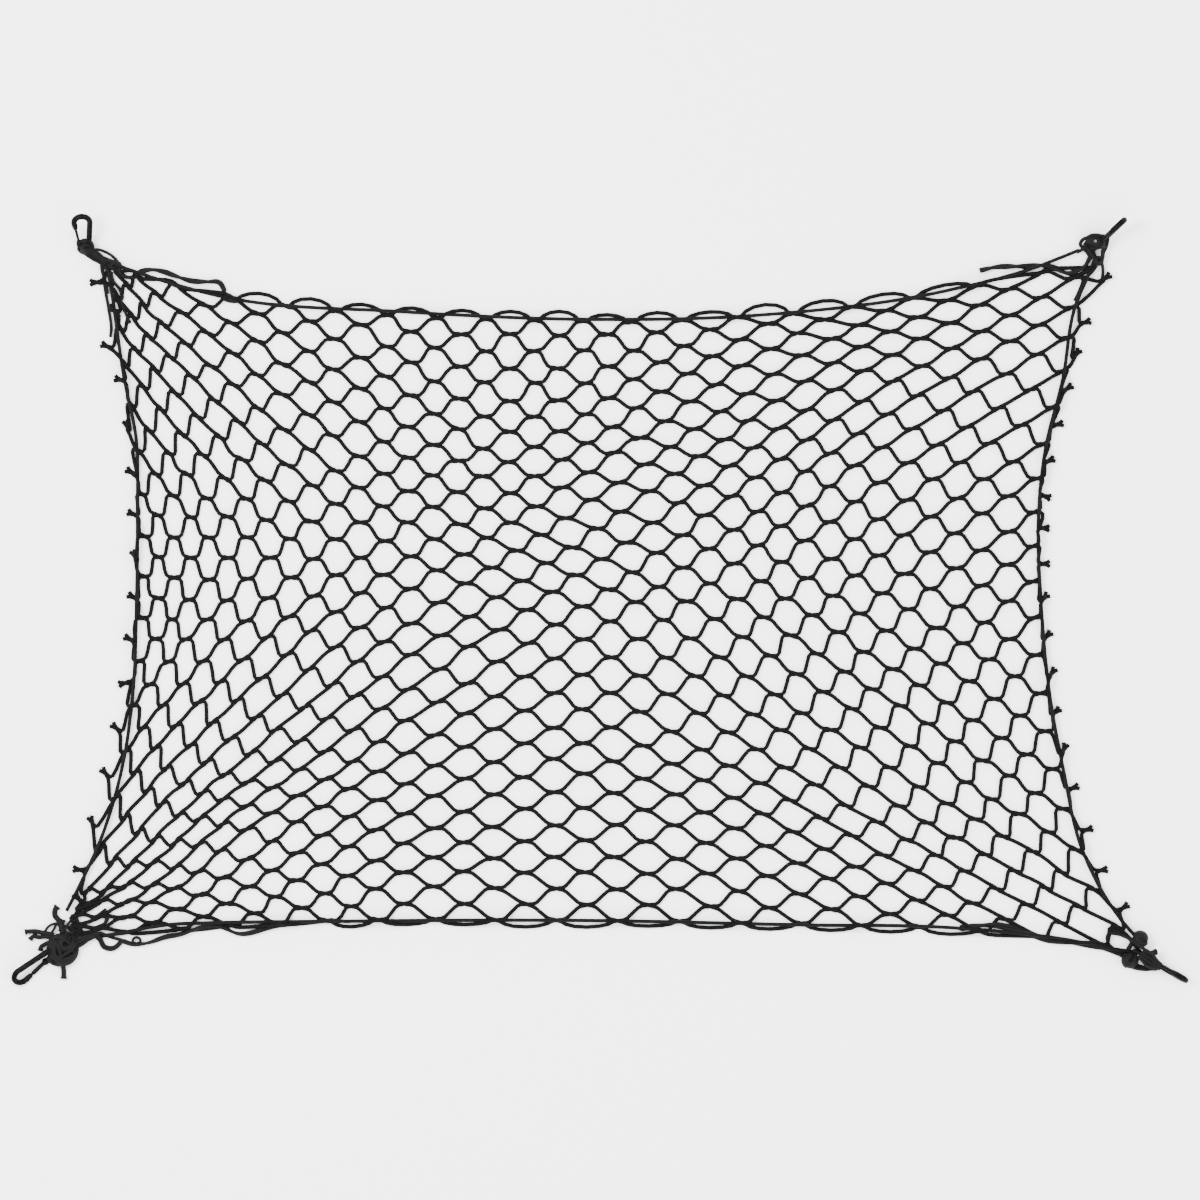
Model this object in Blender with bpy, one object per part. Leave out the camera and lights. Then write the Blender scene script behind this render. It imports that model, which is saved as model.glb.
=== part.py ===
"""Pet barrier net: an elastic mesh panel pulled out by four corner hooks, lying flat.

Frame: metres, +X to the right along the long side, +Y to the top side, +Z up from the
surface that the net lies on. The origin is the middle of the footprint, on that surface.
"""

import math

import bmesh
import bpy
import numpy as np
from mathutils import Matrix, Vector

MM = 0.001
GAP = 0.3 * MM

# Driving sizes
TWINE = 3.0 * MM  # thickness and width of the mesh's strands
JOINT = 20.0 * MM  # length of the short bar in which four strands meet
TAIL = 12.0 * MM  # cut strand end that stands out from each side mesh
ARCH = 6.5 * MM  # how far the top and bottom edge meshes reach past the edge joints
CORD = 4.2 * MM  # diameter of the elastic edge cord
HOOK_LENGTH = 60.0 * MM
HOOK_WIDTH = 23.0 * MM
HOOK_BAR = 4.8 * MM
HOOK_NARROW = 4.6 * MM  # centre-line radius of the hook's narrow end
GATE_START = 17.0 * MM  # height of the gate's hinge above the narrow end
GATE_END = 38.0 * MM
GATE_ROD = 2.6 * MM
GATE_HUB = 4.4 * MM
TIE_GRIP = 13.0 * MM  # how much of a hook its corner tie may cover

# The mesh as it lies. Mesh columns are counted from the middle to the right and mesh rows
# from the middle down, and each line below is one mesh row, left edge to right edge.
MESH_COLUMNS = np.array((-19, -13, -7, -1, 5, 11, 18), float)
MESH_ROWS = np.array((-18, -12, -6, 1, 8, 12, 16, 20), float)
RIGHT_OF_MIDDLE_MM = np.array((
    (-560, -422, -245, -75, 95, 291, 547),
    (-548, -422, -249, -76, 104, 305, 538),
    (-528, -405, -250, -73, 120, 295, 508),
    (-530, -408, -248, -52, 130, 297, 500),
    (-560, -431, -255, -54, 148, 324, 514),
    (-592, -436, -257, -53, 154, 345, 535),
    (-604, -436, -260, -52, 158, 362, 572),
    (-606, -425, -256, -50, 163, 370, 612),
), float)
ABOVE_MIDDLE_MM = np.array((
    (385, 352, 332, 326, 326, 341, 389),
    (272, 247, 221, 212, 228, 264, 284),
    (122, 117, 108, 109, 133, 154, 160),
    (-45, -45, -28, -10, -1, 6, 22),
    (-228, -200, -163, -146, -153, -147, -130),
    (-336, -258, -232, -222, -228, -238, -218),
    (-364, -322, -300, -297, -300, -312, -312),
    (-388, -376, -369, -370, -372, -378, -400),
), float)
# The solid mesh has fewer joints than a knitter would make: odd counts, across and down
LATTICE_COLUMNS = 23
LATTICE_ROWS = 23

# Routes of the edge cords, in plan (mm), from one corner tie to the next
CORD_ROUTES_MM = {
    "edge_cord_top": (
        (-564, 389), (-545, 382), (-435, 350), (-231, 333), (-12, 324),
        (185, 329), (404, 358), (540, 391), (553, 403),
    ),
    "edge_cord_bottom": (
        (-574, -388), (-555, -385), (-462, -376), (-312, -371), (-12, -370),
        (231, -375), (416, -379), (560, -396), (607, -407),
    ),
    "edge_cord_left": (
        (-567, 376), (-563, 350), (-549, 254), (-536, 190), (-534, 100),
        (-535, 0), (-540, -115), (-551, -190), (-574, -270), (-606, -350), (-617, -377),
    ),
    "edge_cord_right": (
        (574, 392), (569, 372), (554, 340), (534, 254), (514, 173), (506, 90),
        (509, 0), (520, -115), (538, -196), (567, -289), (606, -372), (618, -388),
    ),
}
CORD_POINTS = 30

# How each hook lies: the far end of its wide end in plan (mm), the way it points (degrees
# from +X), its roll about its length and the lift of its wide end (degrees)
HOOKS = {
    "top_left": {"tip": (-597.5, 443.25), "heading": 94.0, "roll": 0.0, "lift": 44.0},
    "top_right": {"tip": (604.0, 438.0), "heading": 43.7, "roll": 90.0, "lift": 38.0},
    "bottom_left": {"tip": (-676.8, -441.0), "heading": 218.3, "roll": -42.0, "lift": 0.0},
    "bottom_right": {"tip": (678.0, -440.0), "heading": -30.0, "roll": 90.0, "lift": 6.2},
}

# Corner ties (mm). A lump is (centre), (radii); a strand is radius, then its points;
# a ring is its centre, its radius and the radius of its cord.
TIES = {
    "top_left": {
        "lumps": (((-592.5, 404, 6.5), (8.5, 11, 9)),),
        "strands": (
            (6.5, ((-594, 404, 6.5), (-578, 393, 6.3), (-562, 384, 6.2))),
            (2.1, ((-590, 407, 11), (-577, 405, 9), (-566, 398, 7), (-562, 387, 7))),
            (1.9, ((-595, 406, 6), (-605, 411, 3))),
        ),
        "rings": (),
    },
    "top_right": {
        "lumps": (((572, 409, 9), (11, 10, 10)), ((570, 386, 4.5), (6.5, 8, 5.5))),
        "strands": (
            (2.8, ((567, 405, 5), (566, 391, 4.5), (570, 383, 4.5))),
            (2.8, ((577, 410, 6), (583, 400, 4.5), (576, 388, 4.5))),
        ),
        "rings": (((560, 412, 4), 6.5, 2.1),),
    },
    "bottom_left": {
        "lumps": (
            ((-628, -398, 10), (20, 19, 13)),
            ((-620, -408, 8), (14, 14, 10)),
            ((-637, -391, 7), (13, 10, 9)),
        ),
        "strands": (
            (7.5, ((-622, -392, 8), (-598, -383, 7.2), (-568, -388, 6.8))),
            (1.9, ((-632, -390, 4), (-648, -387, 2), (-666, -386, 2))),
            (1.9, ((-632, -394, 4), (-646, -397, 2), (-658, -398, 2))),
            (1.9, ((-620, -404, 4), (-620, -422, 2), (-619, -441, 2))),
            (2.4, ((-624, -386, 8), (-625, -366, 3), (-628, -356, 2.5), (-622, -350, 2.5))),
        ),
        "rings": (),
    },
    "bottom_right": {
        "lumps": (
            ((623.7, -391.5, 8.2), (8.7, 8.7, 8.7)),
            ((611, -418, 7.6), (8.2, 8.2, 8.2)),
            ((630, -411, 8), (11, 9, 9)),
        ),
        "strands": (
            (4.5, ((628, -410, 8), (640, -418, 7), (649, -424, 6))),
            (3.0, ((623, -392, 8), (630, -408, 8))),
            (3.0, ((611, -418, 7), (628, -413, 7))),
            (2.3, ((619, -394, 4), (611, -399, 3), (608, -408, 3), (610, -415, 4))),
            (2.0, ((634, -410, 8), (646, -403, 3))),
        ),
        "rings": (),
    },
}


def clear_scene():
    for obj in list(bpy.data.objects):
        bpy.data.objects.remove(obj, do_unlink=True)


def new_collection(name):
    collection = bpy.data.collections.new(name)
    bpy.context.scene.collection.children.link(collection)
    return collection


def new_material(name, colour, roughness, metallic=0.0):
    material = bpy.data.materials.new(name)
    material.use_nodes = True
    shader = material.node_tree.nodes["Principled BSDF"]
    shader.inputs["Base Color"].default_value = (*colour, 1.0)
    shader.inputs["Roughness"].default_value = roughness
    shader.inputs["Metallic"].default_value = metallic
    return material


def knot_weights(knots, at):
    """Cubic Hermite weights: row p times the values at the knots gives the value at at[p]."""
    at = np.asarray(at, float).ravel()
    count = len(knots)
    values = np.eye(count)
    spans = np.diff(knots)
    chords = np.diff(values, axis=0) / spans[:, None]
    slopes = np.zeros((count, count))
    before, after = spans[:-1, None], spans[1:, None]
    slopes[1:-1] = (chords[:-1] * after + chords[1:] * before) / (before + after)
    slopes[0] = 1.5 * chords[0] - 0.5 * slopes[1]
    slopes[-1] = 1.5 * chords[-1] - 0.5 * slopes[-2]
    cell = np.clip(np.searchsorted(knots, at, side="right") - 1, 0, count - 2)
    width = spans[cell][:, None]
    t = (at - knots[cell])[:, None] / width
    return (
        (2 * t**3 - 3 * t**2 + 1) * values[cell]
        + (t**3 - 2 * t**2 + t) * width * slopes[cell]
        + (3 * t**2 - 2 * t**3) * values[cell + 1]
        + (t**3 - t**2) * width * slopes[cell + 1]
    )


def place_on_mesh(columns, rows):
    """Plan position of points given by mesh column and mesh row."""
    across = knot_weights(MESH_COLUMNS, columns)
    down = knot_weights(MESH_ROWS, rows)
    x = np.einsum("pr,rc,pc->p", down, RIGHT_OF_MIDDLE_MM, across)
    y = np.einsum("pr,rc,pc->p", down, ABOVE_MIDDLE_MM, across)
    return np.stack((x, y), axis=1) * MM


def smooth_route(points, count):
    """Evenly spread points on a smooth curve through the given ones."""
    points = np.array(points, float)
    steps = np.linalg.norm(np.diff(points, axis=0), axis=1)
    along = np.concatenate(((0.0,), np.cumsum(steps)))
    return knot_weights(along, np.linspace(0.0, along[-1], count)) @ points


def lattice_joints():
    """The two ends of each joint bar, by lattice column and row.

    Each bar is turned to the pull of the strands at its ends, which grows with their length.
    """
    sites = [
        (column, row)
        for column in range(LATTICE_COLUMNS)
        for row in range(LATTICE_ROWS)
        if (column + row) % 2 == 0
    ]
    number = {site: index for index, site in enumerate(sites)}
    grid = np.array(sites, float)
    columns = np.interp(grid[:, 0], (0, LATTICE_COLUMNS - 1), MESH_COLUMNS[[0, -1]])
    rows = np.interp(grid[:, 1], (0, LATTICE_ROWS - 1), MESH_ROWS[[0, -1]])
    centres = place_on_mesh(columns, rows)
    strands = np.array([
        (number[site], number[(site[0] + 1, site[1] + step)])
        for site in sites
        for step in (-1, 1)
        if (site[0] + 1, site[1] + step) in number
    ])
    ways = np.tile((1.0, 0.0), (len(sites), 1))
    slack = 1.9 * JOINT
    slack_pull, stretch_pull, rounds = 0.3, 10.0, 30
    for _ in range(rounds):
        starts = (centres + ways * JOINT / 2)[strands[:, 0]]
        ends = (centres - ways * JOINT / 2)[strands[:, 1]]
        runs = ends - starts
        lengths = np.linalg.norm(runs, axis=1, keepdims=True)
        stretch = np.maximum(lengths / slack - 1.0, 0.0)
        pulls = runs / lengths * (slack_pull + stretch_pull * stretch)
        total = np.tile((1.0, 0.0), (len(sites), 1))
        np.add.at(total, strands[:, 0], pulls)
        np.add.at(total, strands[:, 1], pulls)
        total /= np.linalg.norm(total, axis=1, keepdims=True)
        ways = 0.5 * ways + 0.5 * total
        ways /= np.linalg.norm(ways, axis=1, keepdims=True)
    return {
        site: (centres[i] - ways[i] * JOINT / 2, centres[i] + ways[i] * JOINT / 2)
        for site, i in number.items()
    }


def edge_arch(joints, column, row):
    """The two corners of the edge strand between two neighbouring top or bottom joints."""
    left = joints[(column - 1, row)][1]
    right = joints[(column + 1, row)][0]
    past = np.array((0.0, ARCH if row == 0 else -ARCH))
    return left + 0.3 * (right - left) + past, left + 0.7 * (right - left) + past


def side_point(joints, column, row):
    """The outer corner of a side mesh, where its cut tail starts."""
    end = 0 if column == 0 else 1
    middle = (joints[(column, row - 1)][end] + joints[(column, row + 1)][end]) / 2
    return middle + np.array((-TAIL if column == 0 else TAIL, 0.0))


def mesh_gap(joints, column, row):
    """Corner points of one gap, clockwise from its top left, along the strands' middles."""
    gap = []
    if row > 0:
        gap.extend(joints[(column, row - 1)])
    else:
        gap.extend(edge_arch(joints, column, row))
    if column < LATTICE_COLUMNS - 1:
        gap.append(joints[(column + 1, row)][0])
    else:
        gap.append(side_point(joints, column, row))
    if row < LATTICE_ROWS - 1:
        gap.extend(joints[(column, row + 1)][::-1])
    else:
        gap.extend(edge_arch(joints, column, row)[::-1])
    if column > 0:
        gap.append(joints[(column - 1, row)][1])
    else:
        gap.append(side_point(joints, column, row))
    return np.array(gap)


def offset_loop(loop, distance):
    """A clockwise loop moved outwards by distance, with mitred corners."""
    edges = np.roll(loop, -1, axis=0) - loop
    edges /= np.linalg.norm(edges, axis=1, keepdims=True)
    outward = np.stack((-edges[:, 1], edges[:, 0]), axis=1)
    before = np.roll(outward, 1, axis=0)
    mitre = (before + outward) / np.maximum(
        1.0 + (before * outward).sum(axis=1, keepdims=True), 0.35
    )
    return loop + distance * mitre


def keeps_its_sides(loop, moved):
    """True while no side of the loop has turned round by being moved."""
    sides = np.roll(loop, -1, axis=0) - loop
    new_sides = np.roll(moved, -1, axis=0) - moved
    along = (sides * new_sides).sum(axis=1) / np.linalg.norm(sides, axis=1)
    return along.min() > 0.5 * MM


def net_outline(joints):
    """The mesh's outer edge, clockwise from the top left, with its side tails."""
    last_column, last_row = LATTICE_COLUMNS - 1, LATTICE_ROWS - 1
    middle_line = []
    tails = []
    for column in range(0, last_column + 1, 2):
        middle_line.extend(joints[(column, 0)])
        if column < last_column:
            middle_line.extend(edge_arch(joints, column + 1, 0))
    for row in range(1, last_row, 2):
        tails.append(len(middle_line))
        middle_line.append(side_point(joints, last_column, row))
        middle_line.append(joints[(last_column, row + 1)][1])
    for column in range(last_column, -1, -2):
        if column < last_column:
            middle_line.extend(edge_arch(joints, column + 1, last_row)[::-1])
            middle_line.append(joints[(column, last_row)][1])
        middle_line.append(joints[(column, last_row)][0])
    for row in range(last_row - 1, 0, -2):
        tails.append(len(middle_line))
        middle_line.append(side_point(joints, 0, row))
        if row > 1:
            middle_line.append(joints[(0, row - 1)][0])
    middle_line = np.array(middle_line)
    edge = offset_loop(middle_line, TWINE / 2)
    outline = []
    for index, point in enumerate(edge):
        if index not in tails:
            outline.append(point)
            continue
        start = middle_line[index]
        way = 1.0 if start[0] > 0 else -1.0
        half = np.array((0.0, way * TWINE / 2))
        tip = start + np.array((way * TAIL, 0.0))
        outline.extend((start + half, tip + half, tip - half, start - half))
    return np.array(outline)


def flat_curve(name, loops, thickness):
    """A flat piece: a 2D curve filled between its loops and extruded."""
    data = bpy.data.curves.new(name, "CURVE")
    data.dimensions = "2D"
    data.fill_mode = "BOTH"
    data.extrude = thickness / 2
    for loop in loops:
        spline = data.splines.new("POLY")
        spline.points.add(len(loop) - 1)
        for point, (x, y) in zip(spline.points, loop):
            point.co = (x, y, 0.0, 1.0)
        spline.use_cyclic_u = True
    return bpy.data.objects.new(name, data)


def tube_curve(name, points, diameter, radii=None, closed=False, resolution=2):
    """A round tube along the points; radii scale it point by point."""
    data = bpy.data.curves.new(name, "CURVE")
    data.dimensions = "3D"
    data.bevel_depth = diameter / 2
    data.bevel_resolution = resolution
    data.use_fill_caps = not closed
    spline = data.splines.new("POLY")
    spline.points.add(len(points) - 1)
    for index, (x, y, z) in enumerate(points):
        spline.points[index].co = (x, y, z, 1.0)
        if radii is not None:
            spline.points[index].radius = radii[index]
    spline.use_cyclic_u = closed
    return bpy.data.objects.new(name, data)


def as_mesh(curve, collection):
    """The curve's solid as a welded mesh object of the same name and place."""
    collection.objects.link(curve)
    bpy.context.view_layer.update()
    graph = bpy.context.evaluated_depsgraph_get()
    mesh = bpy.data.meshes.new_from_object(curve.evaluated_get(graph))
    shape = bmesh.new()
    shape.from_mesh(mesh)
    bmesh.ops.remove_doubles(shape, verts=shape.verts, dist=1e-6)
    bmesh.ops.recalc_face_normals(shape, faces=shape.faces)
    shape.to_mesh(mesh)
    shape.free()
    name, matrix = curve.name, curve.matrix_world.copy()
    bpy.data.objects.remove(curve, do_unlink=True)
    solid = bpy.data.objects.new(name, mesh)
    solid.matrix_world = matrix
    collection.objects.link(solid)
    return solid


def hide_helper(obj):
    obj.hide_render = True
    obj.display_type = "WIRE"


def boolean(target, other, operation):
    modifier = target.modifiers.new(f"{operation.lower()} {other.name}", "BOOLEAN")
    modifier.operation = operation
    modifier.object = other
    modifier.solver = "EXACT"


def helper_solid(kind, name, collection, matrix=None, **sizes):
    """A hidden cylinder, cube or sphere for a Boolean."""
    mesh = bpy.data.meshes.new(name)
    shape = bmesh.new()
    if kind == "cylinder":
        bmesh.ops.create_cone(
            shape, cap_ends=True, segments=sizes["segments"], depth=sizes["depth"],
            radius1=sizes["radius"], radius2=sizes["radius"],
        )
    elif kind == "sphere":
        bmesh.ops.create_uvsphere(shape, u_segments=12, v_segments=8, radius=1.0)
    else:
        bmesh.ops.create_cube(shape, size=1.0)
    bmesh.ops.transform(shape, matrix=matrix or Matrix.Identity(4), verts=shape.verts)
    shape.to_mesh(mesh)
    shape.free()
    obj = bpy.data.objects.new(name, mesh)
    collection.objects.link(obj)
    hide_helper(obj)
    return obj


def hook_path():
    """The hook's centre line in its own plane, from the nose round to the gate's hinge.

    The hook lies along +Y with its narrow end at zero, its spine at +X and its gate at -X.
    """
    wide = HOOK_WIDTH / 2 - HOOK_BAR / 2
    wide_y = HOOK_LENGTH - HOOK_BAR / 2 - wide
    narrow_y = HOOK_BAR / 2 + HOOK_NARROW
    lean = math.asin((wide - HOOK_NARROW) / (wide_y - narrow_y))

    def gate_side(y):
        x_wide, y_wide = -wide * math.cos(lean), wide_y - wide * math.sin(lean)
        return Vector((x_wide + (y_wide - y) * math.tan(lean), y, 0.0))

    nose = [gate_side(y) for y in (GATE_END, GATE_END + 2.5 * MM, GATE_END + 5 * MM)]
    top = [
        Vector((wide * math.cos(a), wide_y + wide * math.sin(a), 0.0))
        for a in np.linspace(math.pi + lean, -lean, 12)
    ]
    bottom = [
        Vector((HOOK_NARROW * math.cos(a), narrow_y + HOOK_NARROW * math.sin(a), 0.0))
        for a in np.linspace(-lean, -math.pi + lean, 9)
    ]
    stop = gate_side(GATE_START - GATE_HUB / 2 - GAP)
    return nose + top + bottom + [stop], gate_side(GATE_START), gate_side(GATE_END - GAP)


def hook_matrix(place, path):
    """Where a hook lies: turned, with its lowest point on the surface and its tip in place."""
    turn = (
        Matrix.Rotation(math.radians(place["heading"] - 90.0), 4, "Z")
        @ Matrix.Rotation(math.radians(place["lift"]), 4, "X")
        @ Matrix.Rotation(math.radians(place["roll"]), 4, "Y")
    )
    lowest = min((turn @ point).z for point in path) - HOOK_BAR / 2
    far = turn @ Vector((0.0, HOOK_LENGTH, 0.0))
    tip = Vector((place["tip"][0] * MM, place["tip"][1] * MM, 0.0))
    return Matrix.Translation(tip - Vector((far.x, far.y, lowest))) @ turn


def build_hook(corner, parts, helpers, materials):
    """One hook body with the cheeks of its hinge, its gate, and the cutters that clear them."""
    path, hinge, gate_tip = hook_path()
    matrix = hook_matrix(HOOKS[corner], path)
    taper = [0.62, 0.85] + [1.0] * (len(path) - 2)
    body = as_mesh(tube_curve(f"hook_{corner}", path, HOOK_BAR, taper), parts)
    cheek = 1.0 * MM
    hub_half = GATE_ROD / 2
    for side in (-1, 1):
        middle = side * (hub_half + GAP + cheek / 2)
        spot = Matrix.Translation(hinge + Vector((0.0, 0.0, middle)))
        disc = helper_solid(
            "cylinder", f"cheek_{corner}_{side}", helpers, spot,
            segments=12, depth=cheek, radius=GATE_HUB / 2 + 1.2 * MM,
        )
        disc.matrix_world = matrix
        boolean(body, disc, "UNION")
    body.matrix_world = matrix
    body.data.materials.append(materials["hook"])

    along = (gate_tip - hinge).normalized()
    rod_points = [Vector((0.0, 0.0, 0.0)), gate_tip - hinge - along * 0.1 * MM]
    gate = as_mesh(tube_curve(f"gate_{corner}", rod_points, GATE_ROD), parts)
    hub = helper_solid(
        "cylinder", f"hub_{corner}", helpers, None,
        segments=14, depth=2 * hub_half, radius=GATE_HUB / 2,
    )
    boolean(gate, hub, "UNION")
    gate.matrix_world = matrix @ Matrix.Translation(hinge)
    hub.matrix_world = gate.matrix_world
    gate.data.materials.append(materials["gate"])

    sleeve = as_mesh(
        tube_curve(f"hook_room_{corner}", path, HOOK_BAR + 2 * GAP), helpers
    )
    sleeve.matrix_world = matrix
    slot_size = (HOOK_WIDTH + 4 * MM, HOOK_LENGTH, HOOK_BAR + 2 * MM)
    slot_at = Vector((0.0, TIE_GRIP + HOOK_LENGTH / 2, 0.0))
    slot = helper_solid(
        "cube", f"gate_room_{corner}", helpers,
        Matrix.Translation(slot_at) @ Matrix.Diagonal((*slot_size, 1.0)),
    )
    slot.matrix_world = matrix
    hide_helper(sleeve)
    return sleeve, slot


def build_tie(corner, tie, cutters, parts, helpers, materials):
    """A corner tie: lumps, strands and rings of cord in one body, cleared of what it grips."""
    pieces = []
    for number, (centre, radii) in enumerate(tie["lumps"]):
        matrix = Matrix.Translation(Vector(centre) * MM)
        matrix = matrix @ Matrix.Diagonal((*(Vector(radii) * MM), 1.0))
        name = f"lump_{corner}_{number}"
        pieces.append(helper_solid("sphere", name, helpers, matrix))
    for number, (radius, points) in enumerate(tie["strands"]):
        route = smooth_route(np.array(points) * MM, 2 * len(points) + 1)
        curve = tube_curve(f"strand_{corner}_{number}", route, 2 * radius * MM)
        pieces.append(as_mesh(curve, helpers))
    for number, (centre, radius, cord) in enumerate(tie["rings"]):
        turn = np.linspace(0.0, 2 * math.pi, 12, endpoint=False)
        ring = np.stack((np.cos(turn), np.sin(turn), 0 * turn), axis=1) * radius
        curve = tube_curve(
            f"ring_{corner}_{number}", (ring + centre) * MM, 2 * cord * MM, closed=True
        )
        pieces.append(as_mesh(curve, helpers))
    body = bpy.data.objects.new(f"corner_tie_{corner}", pieces[0].data.copy())
    parts.objects.link(body)
    body.data.materials.append(materials["cord"])
    for piece in pieces[1:]:
        hide_helper(piece)
        boolean(body, piece, "UNION")
    for cutter in cutters:
        boolean(body, cutter, "DIFFERENCE")
    return body


def main():
    clear_scene()
    parts = new_collection("pet_barrier_net")
    helpers = new_collection("helpers")
    helpers.hide_render = True
    materials = {
        "twine": new_material("twine", (0.018, 0.018, 0.02), 0.75),
        "cord": new_material("cord", (0.022, 0.022, 0.024), 0.7),
        "hook": new_material("hook", (0.03, 0.03, 0.033), 0.4),
        "gate": new_material("gate", (0.03, 0.03, 0.033), 0.35),
    }

    joints = lattice_joints()
    outline = net_outline(joints)
    gaps = []
    for column in range(LATTICE_COLUMNS):
        for row in range(LATTICE_ROWS):
            if (column + row) % 2 == 1:
                middle_line = mesh_gap(joints, column, row)
                gap = offset_loop(middle_line, -TWINE / 2)
                if keeps_its_sides(middle_line, gap):
                    gaps.append(gap)
    net = flat_curve("net", [outline, *(gap[::-1] for gap in gaps)], TWINE)
    net.location.z = TWINE / 2
    parts.objects.link(net)
    net.data.materials.append(materials["twine"])

    net_room = flat_curve("net_room", [offset_loop(outline, GAP)], 2 * TWINE + 2 * GAP)
    net_room = as_mesh(net_room, helpers)
    hide_helper(net_room)
    below = helper_solid(
        "cube", "below_surface", helpers,
        Matrix.Translation((0, 0, -0.05)) @ Matrix.Diagonal((2.0, 2.0, 0.1, 1.0)),
    )

    cord_rooms = []
    for name, route in CORD_ROUTES_MM.items():
        plan = smooth_route(route, CORD_POINTS) * MM
        height = np.full((len(plan), 1), TWINE + GAP + CORD / 2)
        points = np.hstack((plan, height))
        cord = tube_curve(name, points, CORD)
        cord.data.materials.append(materials["cord"])
        parts.objects.link(cord)
        room = as_mesh(tube_curve(f"{name}_room", points, CORD + 2.2 * GAP), helpers)
        hide_helper(room)
        cord_rooms.append(room)

    for corner, tie in TIES.items():
        hook_rooms = build_hook(corner, parts, helpers, materials)
        cutters = [*hook_rooms, *cord_rooms, net_room, below]
        build_tie(corner, tie, cutters, parts, helpers, materials)
    for obj in parts.objects:
        if obj.type == "MESH":
            obj.data.shade_smooth()


main()
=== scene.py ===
import bpy
import numpy as np
from mathutils import Matrix, Vector


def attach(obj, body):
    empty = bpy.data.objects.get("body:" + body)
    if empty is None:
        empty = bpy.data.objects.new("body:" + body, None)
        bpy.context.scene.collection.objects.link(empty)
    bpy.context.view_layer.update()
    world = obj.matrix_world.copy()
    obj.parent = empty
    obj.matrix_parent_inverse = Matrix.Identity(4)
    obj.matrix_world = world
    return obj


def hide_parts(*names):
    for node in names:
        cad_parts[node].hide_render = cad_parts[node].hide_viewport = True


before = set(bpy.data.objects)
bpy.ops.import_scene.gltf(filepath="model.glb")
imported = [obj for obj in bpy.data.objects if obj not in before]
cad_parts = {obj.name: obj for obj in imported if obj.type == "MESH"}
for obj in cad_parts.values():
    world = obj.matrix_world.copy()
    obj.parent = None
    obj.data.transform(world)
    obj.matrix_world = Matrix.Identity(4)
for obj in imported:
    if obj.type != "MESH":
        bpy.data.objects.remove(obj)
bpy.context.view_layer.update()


# --- Netting -----------------------------------------------------------------------------
# One cut length of knotless elastic netting. Pairs of twines twist round each other in a
# short bar, part, and meet the next pair, so the meshes are six-sided. It lies flat, is
# pulled out at its corners, and its side meshes end in joints that were cut just outside.
MM = 0.001
TWINE = 4.7 * MM
BAR = 10.2 * MM  # length of one twisted joint where the meshes are wide
WIDE_COLUMN = 25.0 * MM  # columns closer than this have bars that are as much shorter
CUT_BAR = 7.5 * MM  # length of a side joint, and of the two cut ends beyond it
CUT_END = 4.5 * MM
PLY = 1.2 * MM  # how far each twine lies from the middle of the bar it twists in
SLACK_LEG = 24.0 * MM  # a leg of this length hangs slack; a longer one is pulled taut
EDGE_DIP = 3.0 * MM  # the top joints lie this far inside the edge cord
ARCH_TOP, ARCH_BOTTOM = 9.0 * MM, 5.5 * MM  # how far the edge meshes arch outwards
CALM_TOP_MM, CALM_BOTTOM_MM = (-425, 430), (-330, 400)  # arches beyond these lie nearly flat
CALM_ARCH = 0.2  # share of the full arch that they keep
HANDLE_SHARE, HANDLE_MOST = 0.34, 9.0 * MM  # how long a leg runs on in line with its bars
ARCH_POINTS, LEG_POINTS = (0.14, 0.31), (0.09, 0.24)  # shares of the way to the inner points
UNEVEN = 0.85 * MM  # how far a joint strays from the even lie
EDGE_UNEVEN, CUT_UNEVEN = 0.35, 0.6  # shares of that at the edges and at the cut joints
BAR_SWING = 0.045  # how far a bar strays from its direction (radians)
CUT_RISE, CUT_RISE_SPREAD = 0.5, 0.35  # how steeply the cut joints point up (radians)
CUT_SPLAY = 0.75  # how far the two cut ends part, as a share of their length
WAVE = 0.5 * MM  # height of the uneven waves in the surface
CORNER_LIFT, CORNER_WIDTH = 3.5 * MM, 45 * MM  # rise of the net at each tie, and its width
LEG_BOW, MOST_SLACK, SLACK_FADE = 1.0 * MM, 1.4, 6 * MM  # bow of a slack leg, and its fading
HOP_WIDTH = 4.5 * MM  # how near to a cord a twine goes up over it
TWINE_SIDES = 6
SLANT_BIAS = 4.5  # how strongly a bar turns to the longer of its two slants
FIRST_COLUMN, LAST_COLUMN = -20, 19
FIRST_ROW, LAST_ROW = -18, 20
FIRST_TIED_ROW = 14  # the left side joints from here down are inside the corner tie

# The lie of the mesh: columns counted from the middle to the right, rows from the middle
# down, and each line of the two tables is one row, from the left edge to the right edge.
MESH_COLUMNS = np.array((-19, -16, -13, -7, -1, 5, 11, 18), float)
MESH_ROWS = np.array((-18, -12, -6, 1, 8, 12, 16, 20), float)
RIGHT_OF_MIDDLE_MM = np.array((
    (-560, -514, -424, -245, -75, 95, 291, 547),
    (-548, -494, -422, -249, -76, 104, 305, 538),
    (-528, -474, -408, -250, -73, 120, 295, 508),
    (-530, -477, -410, -248, -52, 130, 297, 500),
    (-560, -502, -431, -255, -54, 148, 324, 511),
    (-592, -516, -436, -257, -53, 154, 345, 528),
    (-604, -521, -436, -260, -52, 158, 362, 560),
    (-606, -514, -425, -256, -50, 163, 370, 612),
), float)
ABOVE_MIDDLE_MM = np.array((
    (385, 371, 352, 332, 326, 326, 341, 389),
    (272, 261, 247, 221, 212, 228, 264, 284),
    (122, 120, 117, 108, 109, 133, 154, 160),
    (-45, -47, -45, -28, -10, -1, 6, 22),
    (-228, -215, -200, -163, -146, -153, -147, -130),
    (-336, -292, -258, -232, -222, -228, -238, -218),
    (-364, -341, -322, -300, -297, -300, -312, -312),
    (-388, -382, -376, -369, -370, -372, -378, -400),
), float)
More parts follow.
